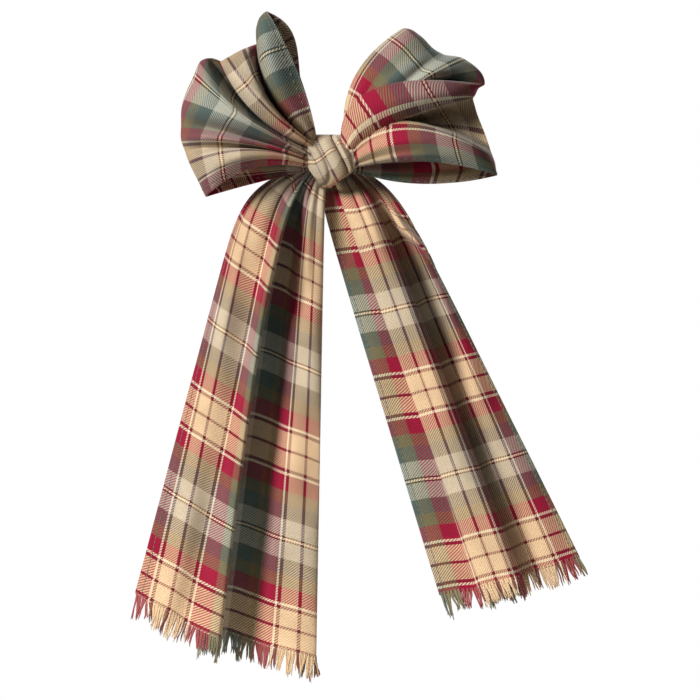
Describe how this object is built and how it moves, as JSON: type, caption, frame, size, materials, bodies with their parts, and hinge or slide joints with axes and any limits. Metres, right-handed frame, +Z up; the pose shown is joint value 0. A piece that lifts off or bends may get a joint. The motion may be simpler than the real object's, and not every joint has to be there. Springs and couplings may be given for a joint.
{
  "type": "hair bow",
  "caption": "Tartan cloth hair bow with hollow loops, a pleated knot band and long fringed tails that swing, on a spring-steel clasp whose arm opens.",
  "frame": {"origin": "middle of the gap that the hair goes through, between the clasp's tension strip and its arm", "axes": "+Z up along the hair, +X to the right seen from the front, front of the bow faces -Y, the head is on the +Y side"},
  "size_m": [0.2513, 0.0486, 0.3617],
  "materials": {
    "tartan_cloth": "brushed twill tartan, matte",
    "fringe_yarn": "soft frayed yarn, matte",
    "sewing_thread": "spun thread, matte",
    "clasp_steel": "plated spring steel, satin"
  },
  "bodies": {
    "bow": {"knot_wrap": "tartan_cloth", "left_loop": "tartan_cloth", "right_loop": "tartan_cloth", "loop_waist": "tartan_cloth", "tail_waist": "tartan_cloth", "gathering_thread": "sewing_thread", "knot_seam_stitches": "sewing_thread", "barrette_base": "clasp_steel", "tension_strip": "clasp_steel", "hinge_pin": "clasp_steel", "catch_foot": "clasp_steel", "catch_rivet": "clasp_steel"},
    "left_tail_body": {"left_tail": "tartan_cloth", "left_tail_fringe": "fringe_yarn", "left_tail_hem_thread": "sewing_thread"},
    "right_tail_body": {"right_tail": "tartan_cloth", "right_tail_fringe": "fringe_yarn", "right_tail_hem_thread": "sewing_thread"},
    "arm": {"barrette_arm": "clasp_steel"},
    "leaf_upper": {"catch_leaf_upper": "clasp_steel"},
    "leaf_lower": {"catch_leaf_lower": "clasp_steel"}
  },
  "joints": [
    {"name": "left_tail_swing", "type": "hinge", "parent": "bow", "child": "left_tail_body", "pos_m": [0, -0.0085, -0.006], "axis": [0, 1, 0], "range_deg": [-3, 10], "stiffness_Nm_per_rad": 0.1, "springref_deg": 2.86},
    {"name": "right_tail_swing", "type": "hinge", "parent": "bow", "child": "right_tail_body", "pos_m": [0, -0.0085, -0.006], "axis": [0, -1, 0], "range_deg": [-3, 10], "stiffness_Nm_per_rad": 0.1, "springref_deg": 2.86},
    {"name": "arm_hinge", "type": "hinge", "parent": "bow", "child": "arm", "pos_m": [-0.04, 0.00455, 0], "axis": [0, 0, 1], "range_deg": [0, 80]},
    {"name": "leaf_upper_squeeze", "type": "hinge", "parent": "bow", "child": "leaf_upper", "pos_m": [0.037, -0.00098, 0.00155], "axis": [-1, 0, 0], "range_deg": [0, 7], "stiffness_Nm_per_rad": 0.02},
    {"name": "leaf_lower_squeeze", "type": "hinge", "parent": "bow", "child": "leaf_lower", "pos_m": [0.037, -0.00098, -0.00155], "axis": [1, 0, 0], "range_deg": [0, 7], "stiffness_Nm_per_rad": 0.02}
  ],
  "couplings": [
    {"joint": "leaf_lower_squeeze", "follows": "leaf_upper_squeeze", "ratio": 1}
  ]
}
